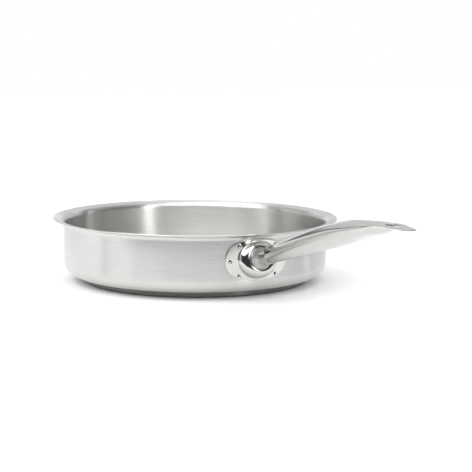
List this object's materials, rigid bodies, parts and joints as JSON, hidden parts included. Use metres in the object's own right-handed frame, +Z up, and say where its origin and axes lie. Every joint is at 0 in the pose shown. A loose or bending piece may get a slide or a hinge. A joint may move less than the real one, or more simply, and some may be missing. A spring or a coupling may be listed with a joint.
{
  "type": "saute pan",
  "caption": "Straight-walled stainless steel pan with a flared pouring rim, a sandwich base and a welded hollow tube handle that flattens into a hanging eye.",
  "frame": {"origin": "on the pan's axis, at the underside of the base", "axes": "+X from the pan's axis along the handle, +Z up out of the pan"},
  "size_m": [0.4827, 0.2616, 0.0894],
  "materials": {
    "body_steel": "satin, brushed round the pan",
    "core_aluminium": "plain rolled",
    "base_steel": "satin, turned",
    "flange_steel": "mirror polished",
    "weld_steel": "dark weld marks",
    "handle_steel": "bright polished"
  },
  "bodies": {
    "root": {"pan_body": "body_steel", "heat_spreader_disc": "core_aluminium", "base_cap": "base_steel", "handle_flange": "flange_steel", "flange_spot_welds": "weld_steel", "neck_weld_bead": "flange_steel", "handle_tube": "handle_steel"}
  },
  "joints": []
}
